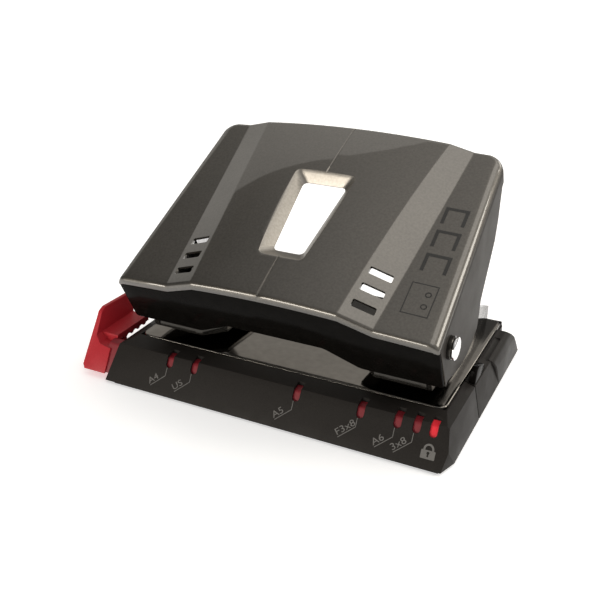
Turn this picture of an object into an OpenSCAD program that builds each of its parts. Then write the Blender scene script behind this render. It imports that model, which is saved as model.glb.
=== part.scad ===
// Two-hole office paper punch with a sliding paper guide.
// Frame: origin at the centre of the base's underside, +X to the user's right, +Y to the back, +Z up.

/* [Base] */
// Width of the base at the floor
base_w = 112.8; // [108:0.2:120]
// Depth of the base at the floor, front to back
base_d = 79; // [78:0.5:84]
// Height of the paper table above the floor
table_z = 12.55; // [12:0.05:14]
// Gap between the housing's underside and the floor
foot_gap = 0.8; // [0.4:0.1:1.2]
// Wall of the plastic housing
housing_wall = 1.6; // [1.4:0.1:2]
// Where the chip drawer's front seam lies, measured from the centre
drawer_front_y = -8.6; // [-9:0.1:-8]

/* [Paper table and frames] */
// Width of the steel paper table
table_w = 101.6; // [100:0.2:104]
// Thickness of the steel paper table
table_t = 1; // [0.8:0.1:1.2]
// Height of the slot that the paper slides into
slot_h = 3.45; // [3.2:0.05:4]
// Thickness of the pressed frame plates
frame_t = 1.8; // [1.5:0.1:2]
// Inner end of each frame arm, measured from the centre
arm_inner_x = 23; // [20:0.5:28]
// Middle of each upright ear, measured from the centre
ear_x = 45.2; // [45:0.1:45.4]

/* [Punching] */
// Distance between the two holes
hole_pitch = 80; // [80:80]
// Diameter of the punched holes
hole_d = 5.5; // [5:0.1:6]
// Distance from the hole centres to the edge of the paper
hole_inset = 12; // [11:0.5:12]
// Distance from the pivot back to the pins
pin_reach = 22.5; // [22:0.5:23]
// Height of the pin tips above the floor at rest
pin_tip_z = 16.5; // [16.2:0.1:16.8]
// Height of the pin heads above the floor at rest
pin_head_z = 28.6; // [28.4:0.1:28.7]

/* [Handle] */
// Tilt of the handle's top face at rest, in degrees
handle_tilt = 26.7; // [25:0.1:28]
// Height of the handle's front top edge
handle_front_z = 36.35; // [36:0.05:37]
// Length of the handle's top face along the slope
handle_l = 72.2; // [70:0.1:74]
// Half width of the handle at its front edge
handle_front_hw = 50.7; // [50.5:0.1:51]
// Half width of the handle at its rear edge
handle_rear_hw = 48.3; // [47.5:0.1:49]
// Wall of the handle shell
handle_wall = 1.8; // [1.6:0.1:2]
// Height of the domed middle panel over the side panels
crown_h = 7; // [6:0.1:7.5]

/* [Pivot] */
// Height of the handle pivot
pivot_z = 32; // [31.5:0.1:32.5]
// Radius of the pivot axle
axle_r = 2.5; // [2:0.1:2.6]
// Radius of the chrome axle heads
axle_head_r = 4.4; // [4:0.1:4.6]

/* [Paper guide] */
// Guide travel between the parked place and the longest paper size
guide_travel = 84.8; // [84.8:84.8]
// Paper size marks, each half a standard paper length from the punch centre
mark_x = [-34.7, -25.9, 8.8, 28.8, 39.8, 45.3, 50.1];
// Width of each size window
window_w = 2.4; // [2.2:0.1:3]
// Inner face of the paper stop when the guide is parked
stop_x = -63.7; // [-63.7:-63.7]

/* [Hidden] */
$fn = 48;
far = 200;
slack = 0.3;
fit_gap = 0.02;

pivot_y = -26.5;
pin_y = pivot_y + pin_reach;
paper_stop_y = pin_y + hole_inset;
hole_x = hole_pitch / 2;
hole_r = hole_d / 2;

front_slope = 6.4 / 10.75;
rim_z = table_z - table_t;
base_top_hw = base_w / 2 - 2.2;
table_front_y = -26;
table_rear_y = 34;
arm_z = table_z + slot_h;
arm_top_z = arm_z + frame_t;
arm_front_y = -24;
ear_t = 1.6;
ear_rear_y = 33.9;
foot_rear_y = paper_stop_y + 13;

bar_base_z = 2.7;
bar_top_z = 10.1;
bar_rear_y = -25;
bar_end_x = 52;
shelf_x = -57.4;
shelf_top_z = 12;

drawer_rear_y = 37.2;
drawer_end_x = 50.6;
drawer_wall = 1;

head_r = 4.1;
bush_r = 3.3;
bush_h = 3.4;
spring_wire_r = 0.3;
spring_mean_r = 3.75;
spring_turns = 4;
cam_nose_r = 3;
cam_w = 6;

front_panel_t = 1.8;
handle_side_slope = (handle_front_hw - handle_rear_hw) / handle_l;
panel_rise = 0.0492;
strip_rise = 0.3907;
strip_edge_hw = 32.4;
crown_edge_hw = 22.7;
strip_drift = 0.1096;

// ---- helpers ----

// Extrudes a (y, z) outline along X between two places.
module along_x(x0, x1, outline)
    translate([x0, 0, 0])
        rotate([90, 0, 90])
            linear_extrude(x1 - x0)
                polygon(outline);

// Extrudes an (x, z) outline along Y between two places.
module along_y(y0, y1, outline)
    translate([0, y1, 0])
        rotate([90, 0, 0])
            linear_extrude(y1 - y0)
                polygon(outline);

// A box between two corners.
module box(low, high)
    translate(low)
        cube(high - low);

// A round bar along X.
module bar_x(x0, x1, y, z, r)
    translate([x0, y, z])
        rotate([0, 90, 0])
            cylinder(r = r, h = x1 - x0);

// A round bar along Z.
module bar_z(x, y, z0, z1, r)
    translate([x, y, z0])
        cylinder(r = r, h = z1 - z0);

// Everything under a plane through a point, which rises by rise_x along X and rise_y along Y.
module under_plane(point, rise_x, rise_y)
    translate(point)
        rotate([atan(rise_y * cos(atan(rise_x))), -atan(rise_x), 0])
            translate([-far, -far, -far])
                cube([2 * far, 2 * far, far]);

// Everything over a plane through a point.
module over_plane(point, rise_x, rise_y)
    translate(point)
        rotate([atan(rise_y * cos(atan(rise_x))), -atan(rise_x), 0])
            translate([-far, -far, 0])
                cube([2 * far, 2 * far, far]);

// Both a shape and its mirror image across the middle plane.
module both_sides() {
    children();
    mirror([1, 0, 0])
        children();
}

// ---- base ----

// Outer faces of the base: sloping walls, a bevelled shoulder and a cut front corner on the right.
module base_envelope() {
    front_y = -base_d / 2;
    lean = (rim_z - foot_gap) * front_slope;
    intersection() {
        along_x(-base_w / 2, base_w / 2, [
            [front_y + 0.4, foot_gap],
            [front_y + lean + 0.4, rim_z],
            [table_front_y - 0.3, table_z],
            [table_rear_y + 0.4, table_z],
            [base_d / 2 - 4, rim_z],
            [base_d / 2 - 0.3, foot_gap]]);
        along_y(-base_d / 2, base_d / 2, [
            [-base_w / 2 + 0.1, foot_gap],
            [-base_top_hw, rim_z],
            [-table_w / 2 - 0.2, table_z],
            [table_w / 2 + 0.2, table_z],
            [base_top_hw, rim_z],
            [base_w / 2 - 0.1, foot_gap]]);
        linear_extrude(table_z)
            polygon([
                [-base_w / 2 + 0.3, front_y],
                [base_w / 2 - 2.2, front_y],
                [base_w / 2, front_y + 6.8],
                [base_w / 2, base_d / 2 - 1],
                [base_w / 2 - 1, base_d / 2],
                [-base_w / 2 + 5, base_d / 2],
                [-base_w / 2, base_d / 2 - 6],
                [-base_w / 2, front_y + 1]]);
    }
}

// Tunnel behind the front wall that the guide bar slides in.
module guide_tunnel()
    along_x(-base_w, base_w / 2 - 2.4, [
        [-36.3, 2.3],
        [-31.8, 9.9],
        [-30.6, 10.5],
        [-24.5, 10.6],
        [-24.5, 2.3]]);

// One size window: a narrow slot that runs down the front face and over the shoulder.
module size_window(x) {
    box([x - window_w / 2, -38, 8.4], [x + window_w / 2, -29.6, table_z + 1]);
    translate([x, -29.6, 8.4])
        cylinder(r = window_w / 2, h = 5);
}

// Room that the chip drawer's tray slides in.
module drawer_room()
    box([-51, drawer_front_y - 0.3, 2], [base_w, drawer_rear_y - 1.4, 10.9]);

module base_housing()
    color("#2b2826")
        difference() {
            base_envelope();
            box([-table_w / 2 - 0.05, table_front_y - 0.05, rim_z],
                [table_w / 2 + 0.05, table_rear_y + 0.05, table_z + 1]);
            guide_tunnel();
            for (x = mark_x)
                size_window(x);
            drawer_room();
            box([drawer_end_x, drawer_front_y - 0.3, 0], [base_w, base_d, table_z + 1]);
            both_sides()
                bar_z(hole_x, pin_y, 10, table_z, hole_r + 2.3);
        }

// Fuller rear part of the drawer's end face, which gives the fingers a hold.
module grip_bulge()
    intersection() {
        along_y(4, 34, [
            [drawer_end_x + 0.3, foot_gap],
            [base_w / 2 - 0.1, foot_gap],
            [base_w / 2 - 0.4, 10.6],
            [base_w / 2 - 1.2, 11.4],
            [drawer_end_x + 0.3, 11.4]]);
        along_x(drawer_end_x, base_w, [
            [13, foot_gap],
            [9.8, 8.2],
            [6.5, 12],
            [28, 12],
            [34, foot_gap]]);
    }

// Sliding drawer that catches the chips, with its end face flush with the base's right side.
module chip_drawer()
    color("#2b2826") {
        difference() {
            box([-50, drawer_front_y + 0.1, 2.3], [drawer_end_x + 0.3, drawer_rear_y - 1.8, 10.3]);
            box([-50 + drawer_wall, drawer_front_y + drawer_wall, 2.3 + drawer_wall],
                [drawer_end_x - 1, drawer_rear_y - 1.8 - drawer_wall, 12]);
        }
        difference() {
            intersection() {
                union() {
                    base_envelope();
                    grip_bulge();
                }
                along_x(drawer_end_x + 0.3, base_w, [
                    [drawer_front_y, 0],
                    [drawer_front_y, table_z - 0.25],
                    [28.2, table_z - 0.25],
                    [31.9, 9.1],
                    [base_d / 2 - 0.3, foot_gap],
                    [base_d / 2 - 0.3, 0]]);
            }
            box([51.9, drawer_front_y + 0.3, 11.5], [54.1, drawer_front_y + 10.7, table_z]);
            box([51.5, 6.5, 10.9], [53.5, 23.5, table_z]);
            translate([52.5, 23.5, 10.9])
                cylinder(r = 1, h = 2);
        }
    }

// Raised catch that releases the drawer.
module drawer_catch()
    color("#141210")
        along_x(52, 54, [
            [drawer_front_y + 0.4, 11.5],
            [drawer_front_y + 1.2, 15.6],
            [drawer_front_y + 3, 16.2],
            [drawer_front_y + 9.4, 14.2],
            [drawer_front_y + 10.6, 11.5]]);

// Soft mat under the housing that the punch stands on, set in a little from the edges.
module base_mat()
    color("#1c1c1c")
        linear_extrude(foot_gap)
            polygon([
                [-base_w / 2 + 3, -base_d / 2 + 1.2],
                [base_w / 2 - 3, -base_d / 2 + 1.2],
                [base_w / 2 - 1, -base_d / 2 + 7],
                [base_w / 2 - 1, drawer_front_y - 1],
                [drawer_end_x - 0.6, drawer_front_y - 1],
                [drawer_end_x - 0.6, base_d / 2 - 1],
                [-base_w / 2 + 6, base_d / 2 - 1],
                [-base_w / 2 + 1, base_d / 2 - 6.5],
                [-base_w / 2 + 1, -base_d / 2 + 7]]);

// ---- paper table, dies and frames ----

module paper_table()
    color("#5f5a54")
        difference() {
            union() {
                box([-table_w / 2 + 3, table_front_y, rim_z], [table_w / 2 - 3, table_rear_y, table_z]);
                box([-table_w / 2, table_front_y + 3, rim_z], [table_w / 2, table_rear_y - 3, table_z]);
                both_sides()
                    for (y = [table_front_y + 3, table_rear_y - 3])
                        bar_z(table_w / 2 - 3, y, rim_z, table_z, 3);
            }
            both_sides()
                bar_z(hole_x, pin_y, 0, far, hole_r + 1.6);
            both_sides()
                for (x = [29, 40])
                    bar_z(x, foot_rear_y - 5, 0, far, 1.4);
        }

// Hardened ring that the pin cuts against.
module punch_die(x)
    color("#9a9a9c")
        difference() {
            bar_z(x, pin_y, 10.95, table_z, hole_r + 1.58);
            bar_z(x, pin_y, 0, far, hole_r + 0.06);
        }

module die_left() punch_die(-hole_x);

module die_right() punch_die(hole_x);

// Pressed steel frame on the right: foot, riser, arm over the paper slot, and the upright ear.
module frame_solid()
    difference() {
        union() {
            box([arm_inner_x, paper_stop_y + frame_t - 0.2, table_z], [ear_x, foot_rear_y, table_z + frame_t]);
            box([arm_inner_x, paper_stop_y, table_z], [ear_x, paper_stop_y + frame_t, arm_top_z]);
            difference() {
                box([arm_inner_x, arm_front_y, arm_z], [ear_x, paper_stop_y + 0.2, arm_top_z]);
                translate([arm_inner_x, arm_front_y, 0])
                    rotate([0, 0, 45])
                        cube([8, 8, far], center = true);
            }
            along_x(ear_x - ear_t / 2, ear_x + ear_t / 2, [
                [paper_stop_y, table_z],
                [ear_rear_y, table_z],
                [ear_rear_y, 17.3],
                [20.5, 22.6],
                [-14, 35.6],
                [-22.9, 35],
                [pivot_y, pivot_z],
                [pivot_y - 4.1, pivot_z - 2.1],
                [-25.6, 20],
                [arm_front_y, arm_z],
                [paper_stop_y, arm_z]]);
            bar_x(ear_x - ear_t / 2, ear_x + ear_t / 2, pivot_y, pivot_z, 4.6);
        }
        bar_x(0, far, pivot_y, pivot_z, axle_r + fit_gap);
        bar_z(hole_x, pin_y, 0, far, bush_r + fit_gap);
        for (x = [29, 40])
            bar_z(x, foot_rear_y - 5, 0, far, 1.4);
    }

module punch_frame_right()
    color("#6a655e")
        frame_solid();

module punch_frame_left()
    color("#6a655e")
        mirror([1, 0, 0])
            frame_solid();

// Rivets that hold the two frames to the paper table.
module frame_rivets()
    color("#a8a8aa")
        both_sides()
            for (x = [29, 40])
                translate([x, foot_rear_y - 5, 0]) {
                    bar_z(0, 0, rim_z, table_z + frame_t, 1.38);
                    bar_z(0, 0, table_z + frame_t, table_z + frame_t + 0.8, 2.2);
                }

// ---- punching pins ----

// Flanged bush in the arm that keeps the pin upright.
module pin_bush(x)
    color("#b08d4a")
        difference() {
            bar_z(x, pin_y, arm_z, arm_top_z + bush_h - frame_t, bush_r);
            bar_z(x, pin_y, 0, far, hole_r + 0.05);
        }

module pin_bush_left() pin_bush(-hole_x);

module pin_bush_right() pin_bush(hole_x);

// Hardened pin with a hollow-ground cutting tip.
module punch_pin(x)
    color("#c4c4c6")
        difference() {
            bar_z(x, pin_y, pin_tip_z, pin_head_z - 1.4, hole_r);
            along_y(-far, far, [
                [x - hole_r - 1, pin_tip_z - 1],
                [x - hole_r - 1, pin_tip_z],
                [x - hole_r, pin_tip_z],
                [x, pin_tip_z + 1.1],
                [x + hole_r, pin_tip_z],
                [x + hole_r + 1, pin_tip_z],
                [x + hole_r + 1, pin_tip_z - 1]]);
        }

module punch_pin_left() punch_pin(-hole_x);

module punch_pin_right() punch_pin(hole_x);

// Cap on the pin that the cam presses and the spring lifts.
module pin_head(x)
    color("#8f8f92")
        bar_z(x, pin_y, pin_head_z - 1.4, pin_head_z, head_r);

module pin_head_left() pin_head(-hole_x);

module pin_head_right() pin_head(hole_x);

// Return spring: rings of wire, each joined to the next by a short rise.
module return_spring(x) {
    z0 = arm_top_z + spring_wire_r;
    z1 = pin_head_z - 1.4 - spring_wire_r;
    pitch = (z1 - z0) / spring_turns;
    color("#d0d0d2")
        for (turn = [0 : spring_turns]) {
            translate([x, pin_y, z0 + turn * pitch])
                rotate_extrude()
                    translate([spring_mean_r, 0])
                        circle(r = spring_wire_r, $fn = 16);
            if (turn < spring_turns)
                translate([x, pin_y, z0 + turn * pitch])
                    rotate([0, 0, 140 * turn])
                        translate([spring_mean_r, 0, 0])
                            cylinder(r = spring_wire_r * 0.8, h = pitch, $fn = 16);
        }
}

module return_spring_left() return_spring(-hole_x);

module return_spring_right() return_spring(hole_x);

// ---- pivot ----

module pivot_axle()
    color("#b4b4b6")
        bar_x(-50.75, 50.75, pivot_y, pivot_z, axle_r);

module pivot_collar()
    color("#1d1b19")
        bar_x(50.75, 51.2, pivot_y, pivot_z, axle_head_r + 0.8);

module pivot_collar_right() pivot_collar();

module pivot_collar_left()
    mirror([1, 0, 0])
        pivot_collar();

// Chrome head: a flat disc with a shallow raised middle.
module axle_head()
    color("#e4e4e6") {
        bar_x(51.2, 51.9, pivot_y, pivot_z, axle_head_r);
        bar_x(51.9, 52.4, pivot_y, pivot_z, axle_head_r - 0.8);
    }

module axle_head_right() axle_head();

module axle_head_left()
    mirror([1, 0, 0])
        axle_head();

// ---- handle, in its own frame: X across, Y along the slope from the front edge, Z out of the top ----

module on_handle()
    translate([0, -base_d / 2 + 3, handle_front_z])
        rotate([handle_tilt, 0, 0])
            children();

// Plan outline of the handle, moved inwards by an inset.
module handle_plan(inset, front) {
    rear_r = 5 - inset;
    front_hw = handle_front_hw - inset - front * handle_side_slope;
    rear_hw = handle_rear_hw - inset;
    rear = handle_l - inset;
    polygon([
        [-front_hw, front],
        [front_hw, front],
        [rear_hw + rear_r * handle_side_slope, rear - rear_r],
        [rear_hw - rear_r, rear],
        [-rear_hw + rear_r, rear],
        [-rear_hw - rear_r * handle_side_slope, rear - rear_r]]);
    both_sides()
        translate([rear_hw + rear_r * handle_side_slope - rear_r, rear - rear_r])
            circle(r = rear_r);
}

// Top faces: two side panels, two sloping strips and a domed middle, all moved in by an inset.
module handle_crown(inset)
    union() {
        intersection() {
            under_plane([strip_edge_hw, 0, 0.9 - inset], -panel_rise, -0.0057);
            under_plane([-strip_edge_hw, 0, 0.9 - inset], panel_rise, -0.0057);
        }
        intersection() {
            crown_pair([0, crown_h - 1.4 - inset], 0.05, 0.085);
            crown_pair([30, crown_h - inset], 0.11, 0);
            crown_pair([handle_l, crown_h - 1.8 - inset], 0.055, -0.09);
            under_plane([crown_edge_hw, 0, 4.69 - inset], -strip_rise, strip_drift * strip_rise - 0.021);
            under_plane([-crown_edge_hw, 0, 4.69 - inset], strip_rise, strip_drift * strip_rise - 0.021);
        }
    }

// Two planes that meet over the middle line at a place given as (y, z), and fall away to each side.
module crown_pair(at, fall, rise_y)
    intersection() {
        under_plane([0, at[0], at[1]], -fall, rise_y);
        under_plane([0, at[0], at[1]], fall, rise_y);
    }

// Side outline of the handle: top, short rear edge, and the lower edge that drops towards the pivot.
module handle_side_outline()
    polygon([
        [-1, 10],
        [-1, -18.3],
        [3, -18.3],
        [7.8, -22],
        [13.9, -26.4],
        [20.6, -29.4],
        [26.6, -30.6],
        [31.4, -30.6],
        [34.4, -28],
        [37, -24.6],
        [55.2, -17.5],
        [59.7, -13.4],
        [66.1, -5.4],
        [handle_l + 2, -5],
        [handle_l + 2, 10]]);

module handle_outer()
    intersection() {
        translate([0, 0, -30])
            linear_extrude(50)
                handle_plan(0, 0);
        rotate([90, 0, 90])
            linear_extrude(2 * far, center = true)
                handle_side_outline();
        handle_crown(0);
        under_plane([handle_front_hw - 1.3, 0, 0], -1, -handle_side_slope);
        under_plane([-handle_front_hw + 1.3, 0, 0], 1, -handle_side_slope);
    }

module handle_inner(front)
    intersection() {
        translate([0, 0, -40])
            linear_extrude(60)
                handle_plan(handle_wall, front);
        handle_crown(handle_wall);
    }

// Sloping walls that lead down to the grip opening, and the opening itself, cut right through.
module grip_opening() {
    intersection() {
        over_plane([8.55, 31.75, crown_h - 0.15], 1.19, -0.0915);
        over_plane([-8.55, 31.75, crown_h - 0.15], -1.19, -0.0915);
        over_plane([0, 14.2, crown_h - 0.4], 0, -0.64);
        over_plane([0, 49.3, crown_h - 0.3], 0, 1.33);
    }
    translate([0, 0, -10])
        linear_extrude(30)
            grip_outline();
}

module grip_outline()
    polygon([
        [-4.7, 20.2],
        [-3.2, 18.6],
        [3.2, 18.6],
        [4.7, 20.2],
        [7.1, 45.2],
        [5.4, 46.9],
        [-5.4, 46.9],
        [-7.1, 45.2]]);

// Collar under the top that the grip opening is cut into.
module grip_collar()
    intersection() {
        handle_crown(0.2);
        translate([0, 0, 2.3])
            linear_extrude(10)
                polygon([
                    [-9.2, 12.4],
                    [9.2, 12.4],
                    [12, 52],
                    [-12, 52]]);
    }

// Three slots in each sloping strip.
module strip_slots()
    for (row = [0 : 2])
        translate([28.15 + 0.35 * row, 6 + 5.8 * row, -2])
            linear_extrude(12)
                polygon([
                    [-3.2, -0.8],
                    [-2.8, -1.2],
                    [2.8, -1.2],
                    [3.2, -0.8],
                    [3.2, 0.8],
                    [2.8, 1.2],
                    [-2.8, 1.2],
                    [-3.2, 0.8]]);

module handle_shell()
    color("#6b655c")
        on_handle()
            difference() {
                union() {
                    difference() {
                        handle_outer();
                        handle_inner(-5);
                    }
                    intersection() {
                        handle_inner(0);
                        grip_collar();
                    }
                    both_sides()
                        bar_x(47.3, 48.8, 7, -8.4, 5);
                }
                grip_opening();
                both_sides()
                    strip_slots();
                bar_x(-far, far, 7, -8.4, axle_r + 0.05);
            }

// Dark panel that closes the front of the handle, lower at its sides.
module handle_front_panel()
    color("#141210")
        on_handle()
            intersection() {
                handle_inner(0.2);
                along_y(0.2, 0.2 + front_panel_t, [
                    [-49.2, 10],
                    [-49.2, -18.3],
                    [-26, -18.3],
                    [-20.9, -16],
                    [-15.6, -12.8],
                    [15.6, -12.8],
                    [20.9, -16],
                    [26, -18.3],
                    [49.2, -18.3],
                    [49.2, 10]]);
            }

// Steel cam under the handle top that presses the pin head with a round nose.
module press_cam(x)
    color("#8f8f92") {
        nose_z = pin_head_z + slack + cam_nose_r;
        bar_x(x - cam_w / 2, x + cam_w / 2, pin_y, nose_z, cam_nose_r);
        intersection() {
            along_x(x - cam_w / 2, x + cam_w / 2, [
                [pin_y - cam_nose_r, nose_z],
                [pin_y + cam_nose_r, nose_z],
                [pin_y + 14, 60],
                [pin_y - 8, 60],
                [pin_y - 8, 42]]);
            on_handle()
                handle_inner(3);
        }
    }

module press_cam_left() press_cam(-hole_x);

module press_cam_right() press_cam(hole_x);

// ---- paper guide ----

// Bar that slides in the base's front tunnel and shows in the size windows.
module guide_bar()
    color("#8a2a30")
        difference() {
            along_x(shelf_x + 0.1, bar_end_x, [
                [-35.6, bar_base_z],
                [-31.4, 9.6],
                [-30.4, bar_top_z],
                [bar_rear_y, bar_top_z],
                [bar_rear_y, bar_base_z]]);
            marker_room();
        }

module marker_room()
    box([mark_x[6] - 1.7, -40, 6.6], [mark_x[6] + 1.7, -28.4, 20]);

// Bright patch on the bar that shows in the window of the chosen size.
module position_marker()
    color("#e83040")
        intersection() {
            marker_room();
            along_x(mark_x[6] - 1.68, mark_x[6] + 1.68, [
                [-33.24, 6.6],
                [-31.5, 9.65],
                [-30.45, bar_top_z + 0.15],
                [-28.4, bar_top_z + 0.15],
                [-28.4, 6.6]]);
        }

// Guide head outside the base: front block, upright paper stop and a shelf with a scalloped underside.
module guide_stop()
    color("#c03038") {
        intersection() {
            along_x(-67, shelf_x, [
                [-38, 2.2],
                [-29.5, 16.8],
                [-28.6, 18.6],
                [-26.6, 19.6],
                [-13.6, 19.2],
                [-12.5, 18.2],
                [-12.5, 9.8],
                [-25, 9.8],
                [-25, 2.2]]);
            along_y(-39, -12, [
                [-65.4, 2.2],
                [-66.2, 3.4],
                [-64.9, 20],
                [stop_x, 20],
                [stop_x, 12],
                [-61.6, 9.8],
                [shelf_x, 9.2],
                [shelf_x, 2.2]]);
        }
        difference() {
            box([stop_x - 0.5, -29.6, shelf_top_z - 2.6], [shelf_x, -12.9, shelf_top_z]);
            for (i = [0 : 4])
                bar_x(stop_x, 0, -27.2 + 3.4 * i, shelf_top_z - 3.4, 1.5);
        }
    }

// ---- what is drawn ----

base_housing();
chip_drawer();
drawer_catch();
base_mat();
paper_table();
die_left();
die_right();
punch_frame_left();
punch_frame_right();
frame_rivets();
pin_bush_left();
pin_bush_right();
punch_pin_left();
punch_pin_right();
pin_head_left();
pin_head_right();
return_spring_left();
return_spring_right();
pivot_axle();
pivot_collar_left();
pivot_collar_right();
axle_head_left();
axle_head_right();
handle_shell();
handle_front_panel();
press_cam_left();
press_cam_right();
guide_bar();
guide_stop();
position_marker();
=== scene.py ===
"""Two-hole office paper punch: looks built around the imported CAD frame."""

import math

import bmesh
import bpy
from mathutils import Matrix, Vector


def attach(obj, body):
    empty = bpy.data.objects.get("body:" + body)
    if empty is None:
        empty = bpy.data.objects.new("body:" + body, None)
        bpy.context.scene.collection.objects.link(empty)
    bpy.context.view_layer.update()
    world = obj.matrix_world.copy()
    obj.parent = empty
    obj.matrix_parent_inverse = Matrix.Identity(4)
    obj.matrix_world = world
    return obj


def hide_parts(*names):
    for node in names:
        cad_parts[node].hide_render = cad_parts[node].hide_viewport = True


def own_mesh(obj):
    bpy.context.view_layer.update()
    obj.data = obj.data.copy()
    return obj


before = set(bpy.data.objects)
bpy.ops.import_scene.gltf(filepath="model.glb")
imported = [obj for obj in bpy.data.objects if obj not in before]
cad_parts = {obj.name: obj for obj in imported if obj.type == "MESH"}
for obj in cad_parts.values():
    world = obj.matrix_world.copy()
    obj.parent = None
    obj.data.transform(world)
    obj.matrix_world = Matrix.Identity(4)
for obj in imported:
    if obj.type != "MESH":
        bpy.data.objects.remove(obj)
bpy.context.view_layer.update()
scene = bpy.context.scene
MM = 0.001

# Handle frame: u across, v along the slope from the front edge, w out of the top, in millimetres.
TILT = math.radians(26.7)
HANDLE_ORIGIN = (0.0, -36.5, 36.35)
LENGTH = 72.2
FRONT_HALF, REAR_HALF = 50.7, 48.3
CORNER_R = 5.0
SIDE_R, FRONT_R, REAR_R = 3.0, 1.5, 1.0
SHELL_T, WALL_T = 2.3, 1.8
ON_HANDLE = Matrix.Translation(HANDLE_ORIGIN) @ Matrix.Rotation(TILT, 4, "X")

# Front face of the base, in millimetres: height and depth at its foot, and its lean.
FACE_FOOT_Y, FACE_FOOT_Z, FACE_LEAN = -39.1, 0.8, 0.5953
MARKS = (-34.7, -25.9, 8.8, 28.8, 39.8, 45.3, 50.1)


# ---- materials ----

def nodes_of(material):
    tree = material.node_tree
    return tree.nodes, tree.links, tree.nodes["Principled BSDF"]


def grained(name, dark, light, grain, rough, rough_span, bump, **sockets):
    """A procedural finish: fine colour variation, uneven roughness and a shallow surface grain."""
    material = bpy.data.materials.new(name)
    material.use_nodes = True
    nodes, links, shader = nodes_of(material)
    coords = nodes.new("ShaderNodeTexCoord")
    fine = nodes.new("ShaderNodeTexNoise")
    fine.inputs["Scale"].default_value = grain
    fine.inputs["Detail"].default_value = 3.0
    broad = nodes.new("ShaderNodeTexNoise")
    broad.inputs["Scale"].default_value = grain / 14
    broad.inputs["Detail"].default_value = 4.0
    links.new(coords.outputs["Object"], fine.inputs["Vector"])
    links.new(coords.outputs["Object"], broad.inputs["Vector"])
    ramp = nodes.new("ShaderNodeValToRGB")
    ramp.color_ramp.elements[0].position = 0.3
    ramp.color_ramp.elements[1].position = 0.7
    ramp.color_ramp.elements[0].color = (*dark, 1)
    ramp.color_ramp.elements[1].color = (*light, 1)
    links.new(fine.outputs["Fac"], ramp.inputs["Fac"])
    links.new(ramp.outputs["Color"], shader.inputs["Base Color"])
    spread = nodes.new("ShaderNodeMapRange")
    spread.inputs["From Min"].default_value = 0.3
    spread.inputs["From Max"].default_value = 0.7
    spread.inputs["To Min"].default_value = rough - rough_span
    spread.inputs["To Max"].default_value = rough + rough_span
    links.new(broad.outputs["Fac"], spread.inputs["Value"])
    links.new(spread.outputs["Result"], shader.inputs["Roughness"])
    relief = nodes.new("ShaderNodeBump")
    relief.inputs["Strength"].default_value = bump
    relief.inputs["Distance"].default_value = 0.00005
    links.new(fine.outputs["Fac"], relief.inputs["Height"])
    links.new(relief.outputs["Normal"], shader.inputs["Normal"])
    for socket, value in sockets.items():
        shader.inputs[socket.replace("_", " ")].default_value = value
    return material


def brushed(name, dark, light, stretch, rough, rough_span, bump):
    """Bare metal with fine drawn lines along the stretched axis."""
    material = grained(name, dark, light, 900, rough, rough_span, bump, Metallic=1.0)
    nodes, links, _ = nodes_of(material)
    coords = next(n for n in nodes if n.type == "TEX_COORD")
    mapping = nodes.new("ShaderNodeMapping")
    mapping.inputs["Scale"].default_value = stretch
    links.new(coords.outputs["Object"], mapping.inputs["Vector"])
    for noise in [n for n in nodes if n.type == "TEX_NOISE"]:
        links.new(mapping.outputs["Vector"], noise.inputs["Vector"])
    return material


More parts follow.
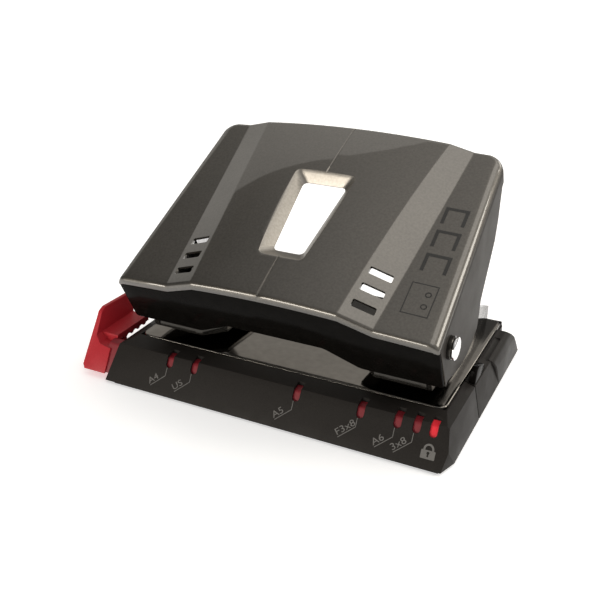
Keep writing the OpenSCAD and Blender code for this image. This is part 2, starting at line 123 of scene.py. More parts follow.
def make_materials():
    return {
        "handle_paint": grained("handle_paint", (0.088, 0.080, 0.069), (0.112, 0.103, 0.089), 1500, 0.40, 0.03,
                                0.10, Metallic=0.9, Coat_Weight=1.0, Coat_Roughness=0.03, Coat_IOR=1.6),
        # Lighter copy of the handle paint: a painted highlight for the bevel faces of the grip opening.
        "handle_funnel_painted_highlight": grained("handle_funnel_painted_highlight", (0.28, 0.262, 0.235), (0.35, 0.328, 0.295), 1500, 0.38, 0.03,
                                 0.10, Metallic=0.9),
        # Darker, duller copy of the handle paint: painted shade on the handle's side walls.
        "handle_side_painted_shade": grained("handle_side_painted_shade", (0.034, 0.031, 0.028), (0.043, 0.039, 0.035), 1500, 0.45, 0.04,
                               0.08, IOR=1.17),
        "black_plastic": grained("black_plastic", (0.0165, 0.0145, 0.0130), (0.0215, 0.0190, 0.0170), 2600, 0.45,
                                 0.05, 0.20, IOR=1.2),
        "gloss_black": grained("gloss_black", (0.0030, 0.0027, 0.0023), (0.0045, 0.004, 0.0035), 300, 0.13,
                               0.03, 0.03, Specular_IOR_Level=0.02),
        "dark_steel": grained("dark_steel", (0.040, 0.037, 0.033), (0.050, 0.047, 0.042), 500, 0.14, 0.03,
                              0.02, Metallic=0.75),
        "rubber": grained("rubber", (0.010, 0.010, 0.010), (0.022, 0.022, 0.022), 1500, 0.85, 0.08, 0.6,
                          Specular_IOR_Level=0.3),
        "coated_steel": grained("coated_steel", (0.160, 0.149, 0.135), (0.188, 0.176, 0.160), 500, 0.09, 0.02,
                                0.02, Metallic=1.0),
        "tool_steel": brushed("tool_steel", (0.42, 0.42, 0.43), (0.62, 0.62, 0.63), (1.0, 1.0, 0.08), 0.28,
                              0.06, 0.15),
        "bush_brass": brushed("bush_brass", (0.52, 0.36, 0.14), (0.70, 0.50, 0.22), (1.0, 1.0, 0.1), 0.26,
                              0.05, 0.1),
        "bright_chrome": grained("bright_chrome", (0.86, 0.86, 0.87), (0.93, 0.93, 0.94), 500, 0.10, 0.03,
                                 0.02, Metallic=1.0),
        "red_plastic": grained("red_plastic", (0.40, 0.018, 0.026), (0.46, 0.024, 0.034), 2200, 0.36, 0.05,
                               0.2, Specular_IOR_Level=0.25),
        # Darker copy of the red plastic: painted shade for the guide bar lying in shadow behind the windows.
        "red_plastic_dark": grained("red_plastic_dark", (0.20, 0.012, 0.019), (0.25, 0.016, 0.025), 2200, 0.38,
                                    0.05, 0.2),
        "red_marker": grained("red_marker", (0.86, 0.028, 0.045), (0.94, 0.036, 0.055), 2200, 0.32, 0.05,
                              0.15),
        "print_grey": grained("print_grey", (0.125, 0.120, 0.114), (0.155, 0.150, 0.142), 2600, 0.55, 0.05,
                              0.2, Specular_IOR_Level=0.3),
        "print_dark": grained("print_dark", (0.016, 0.016, 0.015), (0.024, 0.023, 0.021), 2600, 0.32, 0.05,
                              0.2),
    }


# ---- mesh helpers, all in millimetres until settle() ----

def object_from(name, bm):
    bmesh.ops.recalc_face_normals(bm, faces=bm.faces)
    mesh = bpy.data.meshes.new(name)
    bm.to_mesh(mesh)
    bm.free()
    obj = bpy.data.objects.new(name, mesh)
    scene.collection.objects.link(obj)
    return obj


def loft(name, rings):
    """A closed solid through rings of equally many points."""
    bm = bmesh.new()
    loops = [[bm.verts.new(point) for point in ring] for ring in rings]
    for near, after in zip(loops, loops[1:]):
        for i in range(len(near)):
            j = (i + 1) % len(near)
            bm.faces.new((near[i], near[j], after[j], after[i]))
    bm.faces.new(loops[0][::-1])
    bm.faces.new(loops[-1])
    return object_from(name, bm)


def prism(name, outline, axis, low, high):
    """An outline pushed along an axis; it is (y, z) for axis 0, (x, z) for 1 and (x, y) for 2."""
    def place(point, along):
        spot = list(point)
        spot.insert(axis, along)
        return spot
    return loft(name, [[place(p, low) for p in outline], [place(p, high) for p in outline]])


def lathe(name, axis, centre, profile, steps=64):
    """A turned solid: the profile holds (radius, place along the axis) pairs from end to end."""
    a, b = [i for i in range(3) if i != axis]
    rings = []
    for radius, along in profile:
        ring = []
        for i in range(steps):
            turn = 2 * math.pi * i / steps
            spot = [0.0, 0.0, 0.0]
            spot[axis] = along
            spot[a] = centre[0] + radius * math.cos(turn)
            spot[b] = centre[1] + radius * math.sin(turn)
            ring.append(spot)
        rings.append(ring)
    return loft(name, rings)


def applied(obj):
    """The object with its modifiers made real."""
    graph = bpy.context.evaluated_depsgraph_get()
    mesh = bpy.data.meshes.new_from_object(obj.evaluated_get(graph))
    obj.modifiers.clear()
    spent, obj.data = obj.data, mesh
    bpy.data.meshes.remove(spent)
    return obj


def combined(obj, tool, operation="DIFFERENCE"):
    modifier = obj.modifiers.new("combine", "BOOLEAN")
    modifier.operation = operation
    modifier.solver = "EXACT"
    modifier.object = tool
    applied(obj)
    bpy.data.objects.remove(tool)
    return obj


def rounded(obj, width, segments=3, angle=30):
    """The object with every edge sharper than the angle rounded."""
    bm = bmesh.new()
    bm.from_mesh(obj.data)
    bmesh.ops.remove_doubles(bm, verts=bm.verts, dist=1e-4)
    bmesh.ops.dissolve_limit(bm, angle_limit=math.radians(0.5), verts=bm.verts, edges=bm.edges)
    bm.to_mesh(obj.data)
    bm.free()
    modifier = obj.modifiers.new("round", "BEVEL")
    modifier.width = width
    modifier.segments = segments
    modifier.limit_method = "ANGLE"
    modifier.angle_limit = math.radians(angle)
    modifier.miter_outer = "MITER_ARC"
    return applied(obj)


def shaded(obj, angle=32):
    for face in obj.data.polygons:
        face.use_smooth = True
    obj.data.set_sharp_from_angle(angle=math.radians(angle))
    return obj


def settle(obj, body, slot, material, *nodes, angle=32):
    """Scales a finished piece to metres, gives it its body and finish, and hides the CAD nodes it stands for."""
    obj.data.transform(Matrix.Scale(MM, 4))
    shaded(obj, angle)
    obj.data.materials.clear()
    obj.data.materials.append(material)
    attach(obj, body)
    if nodes:
        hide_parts(*nodes)
    return obj


def copy_of(node, name):
    """A copy of a CAD node's mesh in millimetres, to be finished as a piece of its own."""
    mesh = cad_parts[node].data.copy()
    mesh.transform(Matrix.Scale(1 / MM, 4))
    bm = bmesh.new()
    bm.from_mesh(mesh)
    bmesh.ops.remove_doubles(bm, verts=bm.verts, dist=1e-3)
    bmesh.ops.dissolve_limit(bm, angle_limit=math.radians(0.6), verts=bm.verts, edges=bm.edges)
    return object_from(name, bm)


def soft_outline(points, radii, steps=5):
    """A polygon with each corner rounded by its own radius."""
    outline = []
    count = len(points)
    for i in range(count):
        here = Vector(points[i])
        back = (Vector(points[i - 1]) - here).normalized()
        ahead = (Vector(points[(i + 1) % count]) - here).normalized()
        if radii[i] <= 0:
            outline.append(tuple(here))
            continue
        reach = radii[i] / math.tan(back.angle(ahead) / 2)
        start, end = here + back * reach, here + ahead * reach
        for k in range(steps + 1):
            t = k / steps
            outline.append(tuple(start * (1 - t) ** 2 + here * 2 * t * (1 - t) + end * t ** 2))
    return outline


# ---- handle ----

def strip_edges(v):
    """Distances from the middle to the inner and outer edge of the sloping strip."""
    return 22.6 + 0.096 * v + 0.0003 * v * v, 32.3 + 0.089 * v


def top_height(u, v):
    """Height of the handle's top faces: a domed middle, a sloping strip and a nearly flat side."""
    t = max(0.0, min(1.0, v / LENGTH))
    across = abs(u)
    inner, outer = strip_edges(v)
    middle = 5.55 - 0.25 * t + 7 * t * (1 - t)
    shoulder = 4.6 - 0.85 * t + 3.2 * t * (1 - t)
    foot = 0.9 + 0.55 * t
    if across < inner:
        return middle - (middle - shoulder) * (across / inner) ** 2
    if across < outer:
        return shoulder + (foot - shoulder) * (across - inner) / (outer - inner)
    beyond = across - outer
    return foot - 0.045 * beyond - 0.0012 * beyond * beyond


def side_line(v):
    return FRONT_HALF - (FRONT_HALF - REAR_HALF) * v / LENGTH


def half_width(v, inset=0.0):
    """Half width of the plan outline, with its round rear corners."""
    rear, radius = LENGTH - inset, CORNER_R - inset
    flat = side_line(v) - inset
    past = v - (rear - radius)
    if past <= 0:
        return flat
    return flat - (radius - math.sqrt(max(0.0, radius ** 2 - past ** 2)))


def edge_drop(distance, radius):
    if distance >= radius:
        return 0.0
    return radius - math.sqrt(max(0.0, radius ** 2 - (radius - distance) ** 2))


def outer_height(u, v):
    """Height of the finished outside, with its rounded front, side and rear edges."""
    height = top_height(u, v) - edge_drop(v, FRONT_R)
    corner_v = LENGTH - CORNER_R
    corner_u = side_line(v) - CORNER_R
    if v > corner_v and abs(u) > corner_u:
        du, dv = abs(u) - corner_u, v - corner_v
        share = math.atan2(dv, du) / (math.pi / 2)
        radius = SIDE_R + (REAR_R - SIDE_R) * share
        return height - edge_drop(max(0.0, CORNER_R - math.hypot(du, dv)), radius)
    return height - edge_drop(side_line(v) - abs(u), SIDE_R) - edge_drop(LENGTH - v, REAR_R)


def half_columns(v, inset):
    """Places of the mesh columns on one side at v, from the middle outwards."""
    inner, outer = strip_edges(v)
    edge = half_width(v, inset)
    crown = [(inner - 0.35) * i / 8 for i in range(9)]
    strip = [inner + (outer - inner) * i / 4 for i in (1, 2, 3)]
    reach = edge - SIDE_R
    flank = [outer + 0.35 + (reach - outer - 0.35) * i / 4 for i in (1, 2, 3, 4)]
    flank[-2] = reach - min(0.7, (reach - outer - 0.35) / 4)
    lip = [edge - SIDE_R * share for share in (0.75, 0.52, 0.33, 0.18, 0.07, 0.015, 0.0)]
    return crown + [inner, inner + 0.35] + strip + [outer - 0.35, outer, outer + 0.35] + flank + lip


def handle_block(name, rows, inset, height, floor):
    """A closed solid under a height function, inside the handle's plan outline."""
    bm = bmesh.new()
    grid = []
    for v in rows:
        half = half_columns(v, inset)
        places = [-u for u in reversed(half[1:])] + half
        grid.append([bm.verts.new((u, v, height(u, v))) for u in places])
    for near, after in zip(grid, grid[1:]):
        for i in range(len(near) - 1):
            bm.faces.new((near[i], near[i + 1], after[i + 1], after[i]))
    rim = grid[0][:] + [row[-1] for row in grid[1:]] + grid[-1][-2::-1] + [row[0] for row in grid[-2:0:-1]]
    base = [bm.verts.new((point.co.x, point.co.y, floor)) for point in rim]
    for i in range(len(rim)):
        j = (i + 1) % len(rim)
        bm.faces.new((rim[j], rim[i], base[i], base[j]))
    bm.faces.new(base)
    return object_from(name, bm)


def outer_rows():
    rows = [FRONT_R * share for share in (0.0, 0.015, 0.07, 0.18, 0.33, 0.52, 0.75, 1.0)]
    last = LENGTH - CORNER_R - 0.2
    steps = 22
    rows += [FRONT_R + (last - FRONT_R) * i / steps for i in range(1, steps + 1)]
    rows += [LENGTH - back for back in (4.4, 3.5, 2.7, 2.0, 1.5, 1.1, 0.75, 0.5, 0.3, 0.15, 0.05, 0.0)]
    return rows


def inner_rows():
    end = LENGTH - WALL_T
    near_end = [end - back for back in (1.6, 0.9, 0.4, 0.1)]
    return [-3.0, 0.0] + [end * i / 14 for i in range(1, 14)] + near_end + [end]


def opening_ring(front_half, rear_half, front_v, rear_v, radius, w):
    outline = soft_outline([(-front_half, front_v), (front_half, front_v), (rear_half, rear_v),
                            (-rear_half, rear_v)], [radius] * 4, 6)
    return [(u, v, w) for u, v in outline]


def grip_cutter():
    """Funnel whose walls slope in to a thin edge; it flares a little where it meets the top."""
    rings = [opening_ring(5.9, 8.4, 17.3, 48.2, 1.8, -12), opening_ring(5.9, 8.4, 17.3, 48.2, 1.8, 2.0),
             opening_ring(4.75, 7.2, 18.65, 46.95, 1.8, 3.5), opening_ring(4.7, 7.15, 18.7, 46.9, 1.8, 3.7)]
    for rise, spread in ((0.75, 0.75), (0.9, 0.92), (1.0, 1.06), (1.1, 1.28), (1.5, 2.3)):
        rings.append(opening_ring(4.7 + 2.5 * spread, 7.15 + 2.75 * spread, 18.7 - 4.4 * spread,
                                  46.9 + 2.4 * spread, 1.8, 3.7 + 3.05 * rise))
    return loft("grip_cutter", rings)


def slot_cutter(side, row):
    middle_u, middle_v = side * (28.15 + 0.35 * row), 6.0 + 5.8 * row
    rings = []
    for depth, grow, undercut in ((-8, 0.0, 2.6), (-2.4, 0.0, 1.7), (-0.8, 0.0, 0.0), (8, 0.2, 0.0)):
        half_u, half_v = 3.2 + grow, 1.2 + grow
        points = [(middle_u - half_u, middle_v - half_v), (middle_u + half_u, middle_v - half_v),
                  (middle_u + half_u, middle_v + half_v + undercut),
                  (middle_u - half_u - undercut, middle_v + half_v + undercut)]
        rings.append([(u, v, top_height(u, v) + depth) for u, v in soft_outline(points, [0.5] * 4, 4)])
    return loft("slot_cutter", rings)


def seam_cutter(stations):
    """Groove along the middle line; each station holds v, the groove's middle, and the far edge and depth
    of the shallow step to its right."""
    rings = []
    for v, middle, far, step in stations:
        top = top_height(0, min(max(v, 0), LENGTH)) - edge_drop(max(v, 0), FRONT_R)
        section = ((middle - 0.28, 2), (middle - 0.28, 0), (middle + 0.1, -0.34), (middle + 0.2, -step),
                   (far, -step), (far, 2))
        rings.append([(u, v, top + w) for u, w in section])
    return loft("seam_cutter", rings)


def lip_columns(outermost):
    """Places across the handle's front lip, from its right end to its left."""
    half = outermost + [44, 38, 33, 32.4, 27, 22.8, 18, 12, 6]
    return half + [0] + [-u for u in reversed(half)]


def handle_cover(materials):
    shell = handle_block("handle_cover", outer_rows(), 0.0, outer_height, -32.0)
    hollow = handle_block("handle_hollow", inner_rows(), WALL_T,
                          lambda u, v: top_height(u, max(v, 0.0)) - SHELL_T, -45.0)
    combined(shell, hollow)
    collar = loft("collar", [opening_ring(6.2, 8.7, 16.6, 48.6, 2.0, 2.9),
                             opening_ring(9.3, 12.0, 12.3, 51.4, 2.0, 5.7)])
    combined(shell, collar, "UNION")
    below = prism("below", [(-5, -18.3), (3, -18.3), (7.8, -22), (13.9, -26.4), (20.6, -29.4), (26.6, -30.6),
                            (31.4, -30.6), (34.4, -28), (37, -24.6), (55.2, -17.5), (59.7, -13.4),
                            (66.1, -5.4), (78, -5), (78, -60), (-5, -60)], 0, -80, 80)
    combined(shell, below)
    for side in (-1, 1):
        boss = lathe("boss", 0, (7, -8.4), [(5.0, side * 46.9), (5.0, side * 49.2)], 48)
        combined(shell, boss, "UNION")
    lip_under = [(u, top_height(u, 0) - SHELL_T - 0.2) for u in lip_columns([60, 50.7])]
    combined(shell, prism("panel_seat", lip_under + [(-60, -40), (60, -40)], 1, -5, 1.0))
    bore = lathe("bore", 0, (7, -8.4), [(2.56, -70), (2.56, 70)], 48)
    combined(shell, bore)
    combined(shell, grip_cutter())
    for side in (-1, 1):
        for row in range(3):
            combined(shell, slot_cutter(side, row))
    front = [(v, -0.9 + 0.045 * v, 1.0 - 0.05 * v, max(0.02, 0.28 - 0.02 * v))
             for v in (-1, 0, 0.4, 0.8, 1.5, 6, 11, 16)]
    rear = [(v, 0.008 * (v - 47), 0.008 * (v - 47) + 0.24, 0.02) for v in (47, 52, 58, 64, 69, 71.2, 73)]
    combined(shell, seam_cutter(front))
    combined(shell, seam_cutter(rear))
    shell.data.transform(ON_HANDLE)
    settle(shell, "handle", "handle_paint", materials["handle_paint"], "handle_shell", angle=30)
    shell.data.materials.append(materials["handle_side_painted_shade"])
    shell.data.materials.append(materials["handle_funnel_painted_highlight"])
    off_handle = ON_HANDLE.inverted()
    for face in shell.data.polygons:
        u, v, w = off_handle @ (face.center / MM)
        lean = (off_handle.to_3x3() @ face.normal).z
        # Side-wall faces take the darker paint copy, painted shade.
        if abs(face.normal.x) > 0.93 and abs(u) > 44:
            face.material_index = 1
        # Bevel faces of the grip opening take the lighter paint copy, a painted highlight.
        elif abs(u) < 13 and 13.5 < v < 51 and w > 3.6 and lean < 0.9:
            face.material_index = 2
    return shell


def front_panel(materials):
    """Black panel that closes the front of the handle; its lower edge rises over the paper slot."""
    tops = [(u, top_height(u, 0) - SHELL_T - 0.1) for u in lip_columns([50.4])]
    low = [(-50.4, -18.5), (-26, -18.5), (-15.6, -12.8), (15.6, -12.8), (26, -18.5), (50.4, -18.5)]
    outline = soft_outline(low + tops, [1.5, 5, 4, 4, 5, 1.5] + [0] * len(tops), 6)
    panel = prism("front_cover", outline, 1, 0.12, 1.6)
    rounded(panel, 0.6, 4, 35)
    panel.data.transform(ON_HANDLE)
    return settle(panel, "handle", "gloss_black", materials["gloss_black"], "handle_front_panel")


# ---- base ----

def face_point(x, s, out=0.0):
    """A point on the base's sloping front face: s along the slope from its foot, out off the face."""
    slope = math.hypot(FACE_LEAN, 1)
    up = Vector((0, FACE_LEAN / slope, 1 / slope))
    off = Vector((0, -1 / slope, FACE_LEAN / slope))
    return Vector((x, FACE_FOOT_Y, FACE_FOOT_Z)) + up * s + off * out


def envelope():
    """Outer form of the housing and drawer end: sloping walls, a soft shoulder and a cut front corner."""
    body = prism("envelope", [(-39.1, 0.8), (-32.7, 11.55), (-26.3, 12.3), (34.4, 12.3), (35.5, 11.6),
                              (39.2, 0.8)], 0, -60, 60)
    sides = prism("sides", [(-56.3, 0.8), (-54.2, 11.3), (-51.3, 12.3), (51.3, 12.3), (54.2, 11.3),
                            (56.3, 0.8)], 1, -50, 50)
    plan = prism("plan", [(-56.2, -39.5), (54.2, -39.5), (56.4, -32.7), (56.4, 38.6), (55.6, 39.5),
                          (-51.4, 39.5), (-56.4, 33.5), (-56.4, -38.5)], 2, 0, 20)
    combined(body, sides, "INTERSECT")
    combined(body, plan, "INTERSECT")
    return rounded(body, 0.7, 4, 8)


def window_cutter(x):
    """Narrow window that runs down the front face and back over the shoulder, round at its lower end."""
    half = 1.15
    bottom, top = 8.7 + half, 18.0
    outline = [(half * math.cos(a), -half * math.sin(a)) for a in [math.pi * i / 8 for i in range(9)]]
    outline = [(x + du, bottom + ds) for du, ds in outline] + [(x - half, top), (x + half, top)]
    slot = loft("window_cutter", [[face_point(*spot, out) for spot in outline] for out in (4, -2.6)])
    keep = prism("keep", soft_outline([(x - half - 1, -45.0), (x + half + 1, -45.0), (x + half + 1, -40.0),
                                       (x + half, -40.0), (x + half, -28.8), (x - half, -28.8),
                                       (x - half, -40.0), (x - half - 1, -40.0)],
                                      [0, 0, 0, 0, 0.35, 0.35, 0, 0], 4), 2, -5, 30)
    return combined(slot, keep, "INTERSECT")


def bar_profile(gap):
    """Outline of the guide bar, that far under the housing's front face and shoulder."""
    slope = math.hypot(FACE_LEAN, 1)
    face = lambda z: FACE_FOOT_Y + (z - FACE_FOOT_Z) * FACE_LEAN + gap * slope
    return soft_outline([(face(2.4 - gap * 0.3), 2.4 - gap * 0.3), (face(11.35 - gap), 11.35 - gap),
                         (-29.6, 11.75 - gap), (-29.2, 9.0), (-27.2, 8.5), (-27.2, 2.4 - gap * 0.3)],
                        [0.3, 1.2, 0.4, 0.2, 0, 0.2], 5)


def housing(materials):
    shell = envelope()
    shell.name = "housing"
    recess_plan = [(-50.85, -26.05), (50.85, -26.05), (50.85, 34.05), (-50.85, 34.05)]
    recess = prism("recess", recess_plan, 2, 11.5, 20)
    combined(shell, recess)
    tunnel = prism("tunnel", bar_profile(0.55), 0, -80, 54.0)
    combined(shell, tunnel)
    for x in MARKS:
        combined(shell, window_cutter(x))
    combined(shell, prism("behind", [(-56, -29.7), (54, -29.7), (54, -27.0), (-56, -27.0)], 2, 4, 11.2))
    combined(shell, prism("room", [(-51, -8.9), (80, -8.9), (80, 35.8), (-51, 35.8)], 2, 2.0, 10.9))
    combined(shell, prism("end", [(50.6, -8.95), (80, -8.95), (80, 60), (50.6, 60)], 2, -1, 20))
    for side in (-1, 1):
        combined(shell, lathe("hole", 2, (side * 40, -4), [(5.05, 8), (5.05, 14)], 40))
    return settle(shell, "base", "black_plastic", materials["black_plastic"], "base_housing", angle=30)


def drawer(materials):
    tray = prism("chip_tray", [(-50, -8.5), (50.9, -8.5), (50.9, 35.4), (-50, 35.4)], 2, 2.3, 10.3)
    combined(tray, prism("inside", [(-49, -7.6), (49.6, -7.6), (49.6, 34.4), (-49, 34.4)], 2, 3.3, 14))
    end = envelope()
    grip_side = [(50.9, 0.8), (56.4, 0.8), (55.9, 8.6), (55.1, 11.0), (53.6, 12.0), (50.9, 12.0)]
    grip = prism("grip", grip_side, 1, 3, 38)
    lean = prism("lean", [(13.5, 0.8), (10.2, 8.2), (6.6, 13), (30.5, 13), (38.8, 0.8)], 0, 50, 60)
    combined(grip, lean, "INTERSECT")
    rounded(grip, 0.7, 4, 15)
    combined(end, grip, "UNION")
    fall_side = [(-8.4, -1), (-8.4, 14), (27.5, 14), (28.3, 12.1), (31.9, 9.1), (38.9, 0.8), (38.9, -1)]
    fall = prism("fall", soft_outline(fall_side, [0, 0, 0, 1.2, 4, 0, 0], 5), 0, 50.95, 60)
    combined(end, fall, "INTERSECT")
    rounded(end, 0.4, 3, 30)
    groove = loft("groove", [[(x, y, z) for x, z in ((51.4, 11.9), (53.5, 11.2), (53.5, 14), (51.4, 14))]
                             for y in (7.0, 22.8)])
    rounded(groove, 0.5, 3, 30)
    combined(end, groove)
    combined(end, prism("pocket", [(51.9, -8.3), (54.1, -8.3), (54.1, 2.1), (51.9, 2.1)], 2, 11.5, 20))
    combined(tray, end, "UNION")
    tray.name = "chip_drawer_piece"
    return settle(tray, "drawer", "black_plastic", materials["black_plastic"], "chip_drawer", angle=30)


def table_plate(materials):
    """Steel paper table with a soft, slightly proud edge and its two punched holes."""
    outline = soft_outline([(-50.8, -26), (50.8, -26), (50.8, 34), (-50.8, 34)], [3.2] * 4, 8)
    plate = rounded(prism("table_plate", outline, 2, 11.55, 12.6), 0.5, 4, 40)
    for side in (-1, 1):
        combined(plate, lathe("hole", 2, (side * 40, -4), [(4.35, 8), (4.35, 14)], 40))
    return settle(plate, "base", "coated_steel", materials["coated_steel"], "paper_table")


def frames(materials):
    for side in ("left", "right"):
        plate = rounded(copy_of(f"punch_frame_{side}", f"frame_plate_{side}"), 0.22, 3, 30)
        settle(plate, "base", "coated_steel", materials["dark_steel"], f"punch_frame_{side}")


def catch(materials):
    tab = rounded(copy_of("drawer_catch", "catch_tab"), 0.3, 3, 20)
    settle(tab, "drawer", "gloss_black", materials["gloss_black"], "drawer_catch")


# ---- guide ----

def guide(materials):
    bar = prism("guide_rail", bar_profile(0.75), 0, -58.5, 52)
    marker_x = MARKS[-1]
    room = [(marker_x - 1.7, -45), (marker_x + 1.7, -45), (marker_x + 1.7, -20), (marker_x - 1.7, -20)]
    combined(bar, prism("room", room, 2, 6.6, 20))
    # The bar takes the darker red copy, painted shade.
    settle(bar, "guide", "red_plastic_dark", materials["red_plastic_dark"], "guide_bar")
    marker = prism("marker_patch", bar_profile(0.7), 0, marker_x - 1.68, marker_x + 1.68)
    combined(marker, prism("over", room, 2, 6.6, 20), "INTERSECT")
    settle(marker, "guide", "red_marker", materials["red_marker"], "position_marker")
    stop = rounded(copy_of("guide_stop", "guide_head"), 0.45, 4, 25)
    settle(stop, "guide", "red_plastic", materials["red_plastic"], "guide_stop")


# ---- pivot and springs ----

def pivots(materials):
    centre = (-26.5, 32.0)
    for side, name in ((-1, "left"), (1, "right")):
        collar = lathe(f"collar_ring_{name}", 0, centre, [(r, side * x) for r, x in (
            (2.52, 49.9), (3.1, 49.9), (3.3, 50.1), (3.3, 51.55), (3.15, 51.7), (2.7, 51.75), (2.7, 51.95),
            (2.52, 51.95))])
        settle(collar, "base", "gloss_black", materials["dark_steel"], f"pivot_collar_{name}")
        head = lathe(f"head_cap_{name}", 0, centre, [(r, side * x) for r, x in (
            (2.6, 51.85), (3.0, 51.95), (3.2, 52.1), (3.25, 52.35), (3.2, 52.6), (2.95, 52.8), (2.4, 52.98),
            (1.6, 53.12), (0.8, 53.2), (0.2, 53.22))])
        settle(head, "base", "bright_chrome", materials["bright_chrome"], f"axle_head_{name}")


def coil(name, x, y, low, high, radius, wire, turns):
    """A wire spring with closed end turns."""
    steps, sides = int(turns * 36), 10
    rings = []
    for i in range(steps + 1):
        share = i / steps
        turn = 2 * math.pi * turns * share
        rise = min(1.0, max(0.0, (share - 0.1) / 0.8))
        out = Vector((math.cos(turn), math.sin(turn), 0))
        centre = Vector((x, y, low + wire + (high - low - 2 * wire) * rise)) + out * radius
        rings.append([centre + out * wire * math.cos(a) + Vector((0, 0, wire)) * math.sin(a)
                      for a in [2 * math.pi * k / sides for k in range(sides)]])
    return loft(name, rings)


SPRING_LOW, SPRING_HIGH = 17.8, 26.85
SPRING_R, SPRING_WIRE_R, SPRING_TURNS = 3.75, 0.32, 6.5


def springs(materials):
    """Coils that stand on the frame arms."""
    for side, name in ((-1, "left"), (1, "right")):
        piece = coil(f"coil_spring_{name}", side * 40.0, -4.0, SPRING_LOW, SPRING_HIGH, SPRING_R,
                     SPRING_WIRE_R, SPRING_TURNS)
        settle(piece, "base", "tool_steel", materials["tool_steel"], f"return_spring_{name}", angle=60)
        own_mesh(piece)


# ---- printed marks ----

def stroke(name, points, width, lift=0.05):
    """A thin printed line through points on the front face, given as (x, s)."""
    bm = bmesh.new()
    for a, b in zip(points, points[1:]):
        a, b = Vector(a), Vector(b)
        along = (b - a).normalized()
        side = Vector((-along.y, along.x)) * width / 2
        a, b = a - along * width / 2, b + along * width / 2
        corners = [a + side, a - side, b - side, b + side]
        low = [bm.verts.new(face_point(p.x, p.y, -0.02)) for p in corners]
        top = [bm.verts.new(face_point(p.x, p.y, lift)) for p in corners]
        bm.faces.new(top)
        bm.faces.new(low[::-1])
        for i in range(4):
            j = (i + 1) % 4
            bm.faces.new((low[i], low[j], top[j], top[i]))
    return object_from(name, bm)


def lettering(name, text, place, turn, height):
    """Raised lettering on the front face, its baseline turned by an angle in the face."""
    curve = bpy.data.curves.new(name, "FONT")
    curve.body = text
    curve.size = height * 1.38
    curve.extrude = 0.035
    curve.space_character = 1.02
    obj = bpy.data.objects.new(name, curve)
    scene.collection.objects.link(obj)
    graph = bpy.context.evaluated_depsgraph_get()
    mesh = bpy.data.meshes.new_from_object(obj.evaluated_get(graph))
    bpy.data.objects.remove(obj)
    slope = math.hypot(FACE_LEAN, 1)
    right, up = Vector((1, 0, 0)), Vector((0, FACE_LEAN / slope, 1 / slope))
    along = right * math.cos(turn) + up * math.sin(turn)
    rise = up * math.cos(turn) - right * math.sin(turn)
    off = along.cross(rise)
    at = face_point(place[0], place[1], 0.02)
    mesh.transform(Matrix.Diagonal((1.22, 1, 1, 1)))
    mesh.transform(Matrix((
        (along.x, rise.x, off.x, at.x), (along.y, rise.y, off.y, at.y), (along.z, rise.z, off.z, at.z),
        (0, 0, 0, 1))))
    piece = bpy.data.objects.new(name, mesh)
    scene.collection.objects.link(piece)
    return piece


def face_plate(name, outline, lift=0.05):
    """A thin printed shape on the front face, given as (x, s)."""
    return loft(name, [[face_point(x, s, height) for x, s in outline] for height in (-0.02, lift)])


def labels(materials):
    ink = materials["print_grey"]
    turn = math.atan2(3.9, 4.4)
    for x, text in zip(MARKS, ("A4", "US", "A5", "F3x8", "A6", "3x8")):
        x -= 0.45
        name = "mark_" + text.lower()
        line = stroke(name + "_leader", [(x, 8.6), (x, 6.15), (x - 4.4, 2.25)], 0.2)
        settle(line, "base", "black_plastic", ink)
        words = lettering(name + "_text", text, (x - 4.85, 2.5), turn, 1.95)
        settle(words, "base", "black_plastic", ink)
    x = MARKS[-1] - 0.2
    body = face_plate("mark_lock_body", soft_outline([(x - 2, 2.8), (x + 2, 2.8), (x + 2, 5.2), (x - 2, 5.2)],
                                                     [0.25] * 4, 3))
    settle(body, "base", "black_plastic", ink)
    turns = [math.pi * i / 10 for i in range(11)]
    outer = [(x + 1.5 * math.cos(a), 5.5 + 1.5 * math.sin(a)) for a in turns]
    inner = [(x - 0.95 * math.cos(a), 5.5 + 0.95 * math.sin(a)) for a in turns]
    bow = face_plate("mark_lock_bow", [(x + 1.5, 5.1)] + outer + [(x - 1.5, 5.1), (x - 0.95, 5.1)] + inner
                     + [(x + 0.95, 5.1)])
    settle(bow, "base", "black_plastic", ink)
    keyhole = face_plate("mark_lock_keyhole", [(x - 0.22, 3.35), (x + 0.22, 3.35), (x + 0.22, 4.1)]
                         + [(x + 0.42 * math.cos(a), 4.4 + 0.42 * math.sin(a)) for a in
                            [math.radians(-50 + 280 * i / 12) for i in range(13)]] + [(x - 0.22, 4.1)], 0.08)
    settle(keyhole, "base", "black_plastic", materials["black_plastic"])


def handle_strip(name, points, width, material):
    """A printed line through points on the handle's top, given as (u, v)."""
    bm = bmesh.new()
    for a, b in zip(points, points[1:]):
        a, b = Vector(a), Vector(b)
        along = (b - a).normalized()
        side = Vector((-along.y, along.x)) * width / 2
        corners = [a - along * width / 2 + side, a - along * width / 2 - side,
                   b + along * width / 2 - side, b + along * width / 2 + side]
        low = [bm.verts.new((p.x, p.y, top_height(p.x, p.y) - 0.05)) for p in corners]
        top = [bm.verts.new((p.x, p.y, top_height(p.x, p.y) + 0.04)) for p in corners]
        bm.faces.new(top)
        bm.faces.new(low[::-1])
        for i in range(4):
            bm.faces.new((low[i], low[(i + 1) % 4], top[(i + 1) % 4], top[i]))
    piece = object_from(name, bm)
    piece.data.transform(ON_HANDLE)
    settle(piece, "handle", "black_plastic", material)


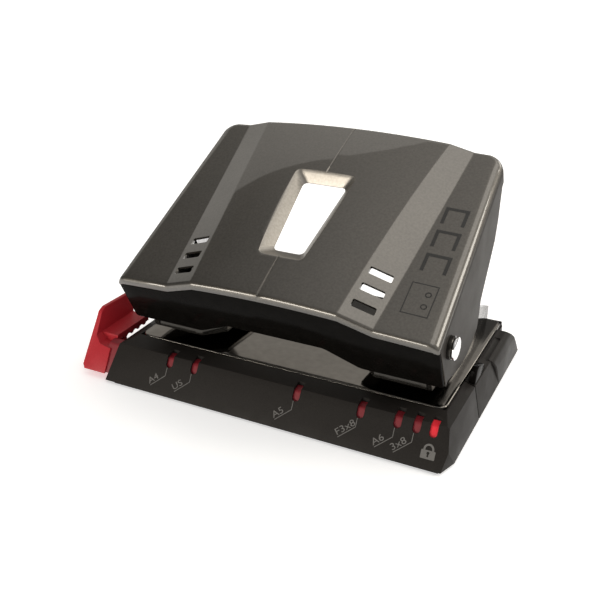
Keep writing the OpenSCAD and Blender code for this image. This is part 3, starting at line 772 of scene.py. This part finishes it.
def handle_mark(materials):
    """Printed pictogram on the handle's right side: a sheet with two holes, then three bars."""
    ink = materials["print_dark"]
    sheet = [(37.2, 8.5), (44.6, 8.5), (44.6, 19.0), (37.2, 19.0), (37.2, 8.5)]
    handle_strip("mark_sheet", sheet, 0.3, ink)
    for name, v in (("mark_hole_low", 11.7), ("mark_hole_high", 15.8)):
        angles = [math.pi * i / 8 for i in range(17)]
        ring = [(42.6 + 0.75 * math.cos(a), v + 0.75 * math.sin(a)) for a in angles]
        handle_strip(name, ring, 0.3, ink)
    for name, v, far in (("mark_bar_a", 24.0, 44.4), ("mark_bar_b", 33.0, 44.2), ("mark_bar_c", 42.0, 44.0)):
        handle_strip(name, [(38.0, v), (38.0, v + 5.4), (far, v + 5.4), (far, v)], 1.05, ink)


# ---- everything else from the CAD ----

def dress_cad(materials):
    for name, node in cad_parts.items():
        if node.hide_render:
            continue
        finish = {
            "base_mat": "rubber", "pin_bush": "bush_brass",
        }
        chosen = next((m for key, m in finish.items() if name.startswith(key)), "tool_steel")
        node.data.materials.clear()
        node.data.materials.append(materials[chosen])


# ---- studio ----

def pane(name, centre, target, width, height, strength, colour=(1.0, 1.0, 1.0)):
    light = bpy.data.lights.new(name, "AREA")
    light.shape = "RECTANGLE"
    light.size, light.size_y = width, height
    light.energy = strength * width * height * math.pi
    light.color = colour
    obj = bpy.data.objects.new(name, light)
    scene.collection.objects.link(obj)
    obj.location = centre
    obj.rotation_euler = (Vector(target) - Vector(centre)).to_track_quat("-Z", "Y").to_euler()
    obj.visible_camera = False
    return obj


def studio():
    world = bpy.data.worlds.new("studio")
    scene.world = world
    world.use_nodes = True
    nodes, links = world.node_tree.nodes, world.node_tree.links
    nodes["Background"].inputs["Color"].default_value = (1.0, 0.98, 0.95, 1)
    coords = nodes.new("ShaderNodeTexCoord")
    toward = nodes.new("ShaderNodeVectorMath")
    toward.operation = "DOT_PRODUCT"
    toward.inputs[1].default_value = (0.5, 0.0, 0.86)
    spread = nodes.new("ShaderNodeMapRange")
    spread.inputs["From Min"].default_value, spread.inputs["From Max"].default_value = 0.32, 0.75
    spread.inputs["To Min"].default_value, spread.inputs["To Max"].default_value = 0.13, 0.58
    links.new(coords.outputs["Generated"], toward.inputs[0])
    links.new(toward.outputs["Value"], spread.inputs["Value"])
    links.new(spread.outputs["Result"], nodes["Background"].inputs["Strength"])
    rear = pane("rear_softbox", (-1.1, 1.34, 1.0), (-1.1, 1.34, 0), 3.8, 1.84, 0.55, (1.0, 0.96, 0.89))
    rear.rotation_euler = (0, 0, math.radians(4))
    pane("top_softbox", (0.42, 0.10, 1.1), (0.42, 0.10, 0), 0.6, 1.1, 1.35, (1.0, 0.96, 0.90))
    pane("front_softbox", (-0.42, -1.05, 0.12), (0, 0, 0.06), 0.7, 0.24, 11.0, (1.0, 0.94, 0.85))
    pane("right_softbox", (0.88, 0.39, 0.57), (0, 0, 0.05), 0.40, 0.34, 6.5, (1.0, 0.95, 0.87))
    pane("side_softbox", (0.52, 0.90, 0.52), (0, 0, 0.05), 0.50, 0.22, 4.0, (1.0, 0.95, 0.87))


def floor():
    bm = bmesh.new()
    for x, y in ((-4, -4), (4, -4), (4, 4), (-4, 4)):
        bm.verts.new((x, y, -0.0002))
    bm.faces.new(bm.verts)
    ground = object_from("floor", bm)
    material = grained("floor_white", (0.90, 0.90, 0.90), (0.93, 0.93, 0.93), 40, 0.6, 0.05, 0.0,
                       Specular_IOR_Level=0.2, Emission_Color=(1, 1, 1, 1), Emission_Strength=0.50)
    ground.data.materials.append(material)


def camera():
    lens = bpy.data.cameras.new("camera")
    lens.lens, lens.sensor_width = 51.8, 36.0
    obj = bpy.data.objects.new("camera", lens)
    scene.collection.objects.link(obj)
    obj.location = (0.1044, -0.2240, 0.1406)
    obj.rotation_euler = (math.radians(64.74), 0, math.radians(26.38))
    scene.camera = obj


def build():
    materials = make_materials()
    handle_cover(materials)
    front_panel(materials)
    housing(materials)
    drawer(materials)
    table_plate(materials)
    frames(materials)
    catch(materials)
    guide(materials)
    pivots(materials)
    springs(materials)
    labels(materials)
    handle_mark(materials)
    dress_cad(materials)


camera()
studio()
floor()
build()
scene.view_settings.view_transform = "Standard"
